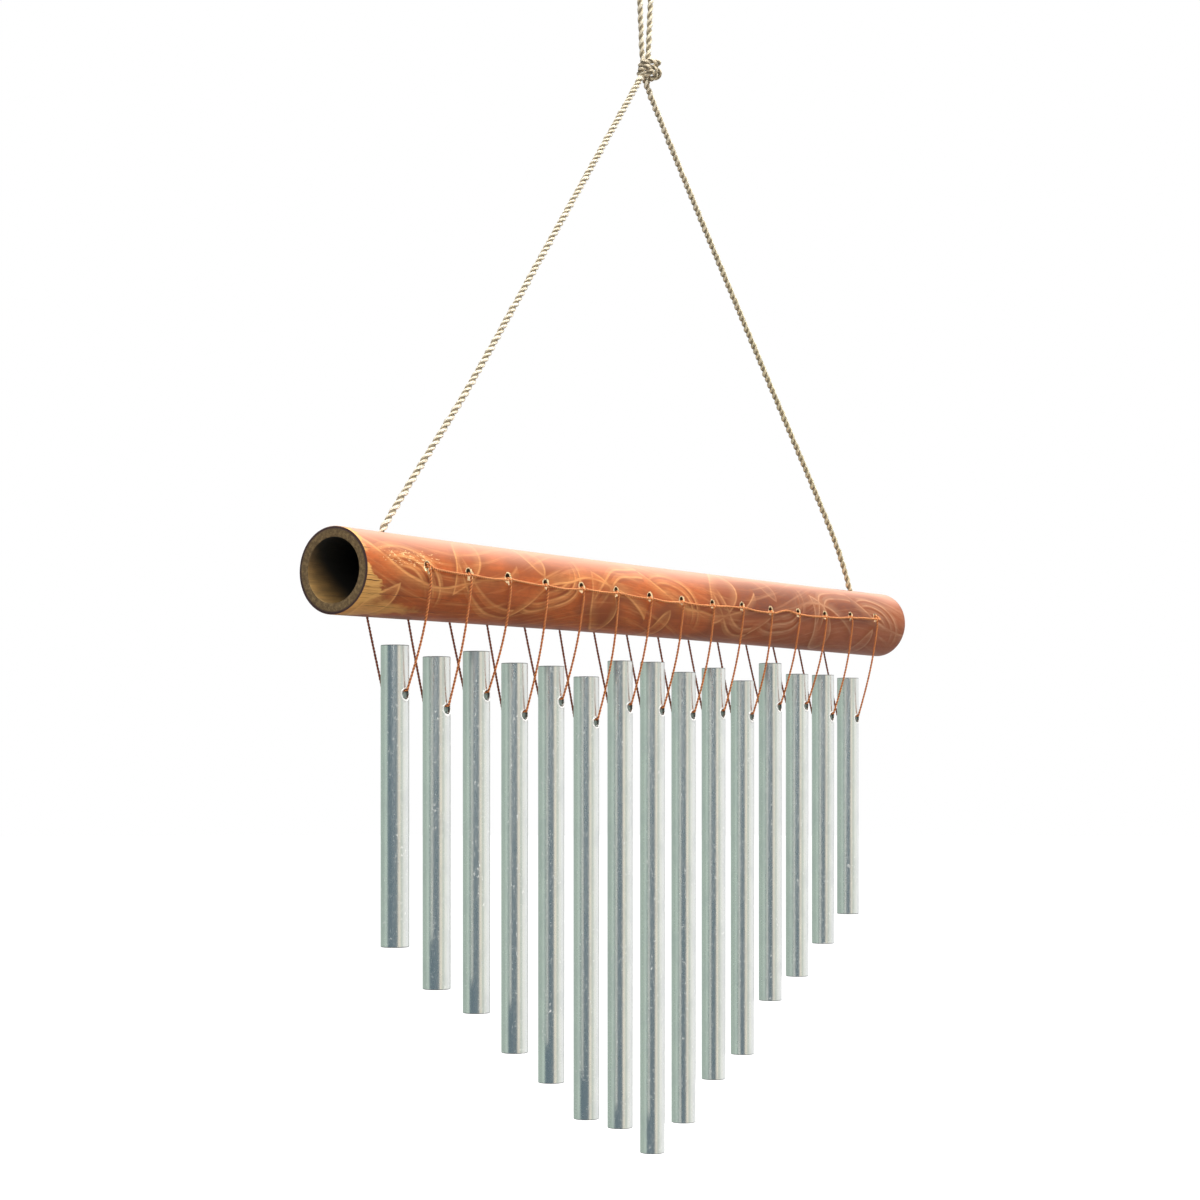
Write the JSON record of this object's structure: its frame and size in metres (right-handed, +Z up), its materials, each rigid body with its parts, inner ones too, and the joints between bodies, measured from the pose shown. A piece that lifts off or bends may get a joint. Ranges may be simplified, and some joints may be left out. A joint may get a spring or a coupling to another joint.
{
  "type": "wind chime",
  "caption": "Wind chime of a hollow stained bamboo beam with a row of aluminium tubes on thread loops, stepped in length to a point, hung from a knotted twisted cord.",
  "frame": {"origin": "inside top of the hanging loop, where a hook bears on it", "axes": "+X along the bamboo beam towards the end that is right in the picture, -Y towards the laced front, +Z up"},
  "size_m": [0.476, 0.0392, 0.5697],
  "materials": {
    "bamboo": "orange-brown stain with pale line drawing, satin lacquer, raw sawn ends",
    "aluminium": "drawn tube, bright, finely scratched",
    "cord": "twisted two-ply natural cord",
    "thread": "rust-orange twisted thread"
  },
  "bodies": {
    "loop": {"hanging_loop": "cord"},
    "knot": {"cord_knot": "cord"},
    "bridle": {"cord_leg_left": "cord", "cord_leg_right": "cord"},
    "beam": {"bamboo_beam": "bamboo", "front_lacing": "thread", "cord_end_left": "cord", "cord_end_right": "cord"},
    "thread_01": {"hanging_thread_01": "thread"},
    "tube_01": {"chime_tube_01": "aluminium"},
    "thread_02": {"hanging_thread_02": "thread"},
    "tube_02": {"chime_tube_02": "aluminium"},
    "thread_03": {"hanging_thread_03": "thread"},
    "tube_03": {"chime_tube_03": "aluminium"},
    "thread_04": {"hanging_thread_04": "thread"},
    "tube_04": {"chime_tube_04": "aluminium"},
    "thread_05": {"hanging_thread_05": "thread"},
    "tube_05": {"chime_tube_05": "aluminium"},
    "thread_06": {"hanging_thread_06": "thread"},
    "tube_06": {"chime_tube_06": "aluminium"},
    "thread_07": {"hanging_thread_07": "thread"},
    "tube_07": {"chime_tube_07": "aluminium"},
    "thread_08": {"hanging_thread_08": "thread"},
    "tube_08": {"chime_tube_08": "aluminium"},
    "thread_09": {"hanging_thread_09": "thread"},
    "tube_09": {"chime_tube_09": "aluminium"},
    "thread_10": {"hanging_thread_10": "thread"},
    "tube_10": {"chime_tube_10": "aluminium"},
    "thread_11": {"hanging_thread_11": "thread"},
    "tube_11": {"chime_tube_11": "aluminium"},
    "thread_12": {"hanging_thread_12": "thread"},
    "tube_12": {"chime_tube_12": "aluminium"},
    "thread_13": {"hanging_thread_13": "thread"},
    "tube_13": {"chime_tube_13": "aluminium"},
    "thread_14": {"hanging_thread_14": "thread"},
    "tube_14": {"chime_tube_14": "aluminium"},
    "thread_15": {"hanging_thread_15": "thread"},
    "tube_15": {"chime_tube_15": "aluminium"}
  },
  "joints": [
    {"name": "cord_turn", "type": "hinge", "parent": "loop", "child": "knot", "pos_m": [0, 0, -0.041], "axis": [0, 0, 1], "range_deg": [-90, 90]},
    {"name": "bridle_tilt", "type": "hinge", "parent": "knot", "child": "bridle", "pos_m": [0, 0, -0.041], "axis": [0, -1, 0], "range_deg": [-15, 15]},
    {"name": "beam_roll", "type": "hinge", "parent": "bridle", "child": "beam", "pos_m": [0, 0, -0.2787], "axis": [1, 0, 0], "range_deg": [-30, 30]},
    {"name": "swing_01", "type": "hinge", "parent": "beam", "child": "thread_01", "pos_m": [-0.1938, 0, -0.29565], "axis": [0, -1, 0], "range_deg": [-24, 5.7]},
    {"name": "swing_02", "type": "hinge", "parent": "beam", "child": "thread_02", "pos_m": [-0.1652, 0, -0.29675], "axis": [0, -1, 0], "range_deg": [-5.7, 5.1]},
    {"name": "swing_03", "type": "hinge", "parent": "beam", "child": "thread_03", "pos_m": [-0.1366, 0, -0.29695], "axis": [0, -1, 0], "range_deg": [-5.1, 4.8]},
    {"name": "swing_04", "type": "hinge", "parent": "beam", "child": "thread_04", "pos_m": [-0.108, 0, -0.29795], "axis": [0, -1, 0], "range_deg": [-4.8, 4.3]},
    {"name": "swing_05", "type": "hinge", "parent": "beam", "child": "thread_05", "pos_m": [-0.0794, 0, -0.29765], "axis": [0, -1, 0], "range_deg": [-4.3, 4]},
    {"name": "swing_06", "type": "hinge", "parent": "beam", "child": "thread_06", "pos_m": [-0.0508, 0, -0.29785], "axis": [0, -1, 0], "range_deg": [-4, 3.7]},
    {"name": "swing_07", "type": "hinge", "parent": "beam", "child": "thread_07", "pos_m": [-0.0222, 0, -0.29885], "axis": [0, -1, 0], "range_deg": [-3.7, 3.6]},
    {"name": "swing_08", "type": "hinge", "parent": "beam", "child": "thread_08", "pos_m": [0.0064, 0, -0.29905], "axis": [0, -1, 0], "range_deg": [-3.6, 3.5]},
    {"name": "swing_09", "type": "hinge", "parent": "beam", "child": "thread_09", "pos_m": [0.035, 0, -0.29915], "axis": [0, -1, 0], "range_deg": [-3.5, 3.8]},
    {"name": "swing_10", "type": "hinge", "parent": "beam", "child": "thread_10", "pos_m": [0.0636, 0, -0.29875], "axis": [0, -1, 0], "range_deg": [-3.8, 4]},
    {"name": "swing_11", "type": "hinge", "parent": "beam", "child": "thread_11", "pos_m": [0.0922, 0, -0.29955], "axis": [0, -1, 0], "range_deg": [-4, 4.5]},
    {"name": "swing_12", "type": "hinge", "parent": "beam", "child": "thread_12", "pos_m": [0.1208, 0, -0.29915], "axis": [0, -1, 0], "range_deg": [-4.5, 4.7]},
    {"name": "swing_13", "type": "hinge", "parent": "beam", "child": "thread_13", "pos_m": [0.1494, 0, -0.29895], "axis": [0, -1, 0], "range_deg": [-4.7, 5.1]},
    {"name": "swing_14", "type": "hinge", "parent": "beam", "child": "thread_14", "pos_m": [0.178, 0, -0.29785], "axis": [0, -1, 0], "range_deg": [-5.1, 5.6]},
    {"name": "swing_15", "type": "hinge", "parent": "beam", "child": "thread_15", "pos_m": [0.2066, 0, -0.29735], "axis": [0, -1, 0], "range_deg": [-5.6, 24]},
    {"name": "rock_01", "type": "hinge", "parent": "thread_01", "child": "tube_01", "pos_m": [-0.1938, 0, -0.34715], "axis": [0, -1, 0], "range_deg": [-24, 8.5]},
    {"name": "rock_02", "type": "hinge", "parent": "thread_02", "child": "tube_02", "pos_m": [-0.1652, 0, -0.35295], "axis": [0, -1, 0], "range_deg": [-8.8, 7.5]},
    {"name": "rock_03", "type": "hinge", "parent": "thread_03", "child": "tube_03", "pos_m": [-0.1366, 0, -0.34635], "axis": [0, -1, 0], "range_deg": [-7, 6.5]},
    {"name": "rock_04", "type": "hinge", "parent": "thread_04", "child": "tube_04", "pos_m": [-0.108, 0, -0.35435], "axis": [0, -1, 0], "range_deg": [-6.8, 6]},
    {"name": "rock_05", "type": "hinge", "parent": "thread_05", "child": "tube_05", "pos_m": [-0.0794, 0, -0.34795], "axis": [0, -1, 0], "range_deg": [-5.7, 5.2]},
    {"name": "rock_06", "type": "hinge", "parent": "thread_06", "child": "tube_06", "pos_m": [-0.0508, 0, -0.35695], "axis": [0, -1, 0], "range_deg": [-5.4, 4.9]},
    {"name": "rock_07", "type": "hinge", "parent": "thread_07", "child": "tube_07", "pos_m": [-0.0222, 0, -0.34935], "axis": [0, -1, 0], "range_deg": [-4.6, 4.5]},
    {"name": "rock_08", "type": "hinge", "parent": "thread_08", "child": "tube_08", "pos_m": [0.0064, 0, -0.35035], "axis": [0, -1, 0], "range_deg": [-4.5, 4.4]},
    {"name": "rock_09", "type": "hinge", "parent": "thread_09", "child": "tube_09", "pos_m": [0.035, 0, -0.35195], "axis": [0, -1, 0], "range_deg": [-4.5, 4.9]},
    {"name": "rock_10", "type": "hinge", "parent": "thread_10", "child": "tube_10", "pos_m": [0.0636, 0, -0.35055], "axis": [0, -1, 0], "range_deg": [-4.9, 5.1]},
    {"name": "rock_11", "type": "hinge", "parent": "thread_11", "child": "tube_11", "pos_m": [0.0922, 0, -0.35175], "axis": [0, -1, 0], "range_deg": [-5.2, 6]},
    {"name": "rock_12", "type": "hinge", "parent": "thread_12", "child": "tube_12", "pos_m": [0.1208, 0, -0.34615], "axis": [0, -1, 0], "range_deg": [-5.9, 6.2]},
    {"name": "rock_13", "type": "hinge", "parent": "thread_13", "child": "tube_13", "pos_m": [0.1494, 0, -0.34515], "axis": [0, -1, 0], "range_deg": [-6.3, 6.9]},
    {"name": "rock_14", "type": "hinge", "parent": "thread_14", "child": "tube_14", "pos_m": [0.178, 0, -0.35035], "axis": [0, -1, 0], "range_deg": [-7.3, 8.2]},
    {"name": "rock_15", "type": "hinge", "parent": "thread_15", "child": "tube_15", "pos_m": [0.2066, 0, -0.35095], "axis": [0, -1, 0], "range_deg": [-8.4, 24]}
  ]
}
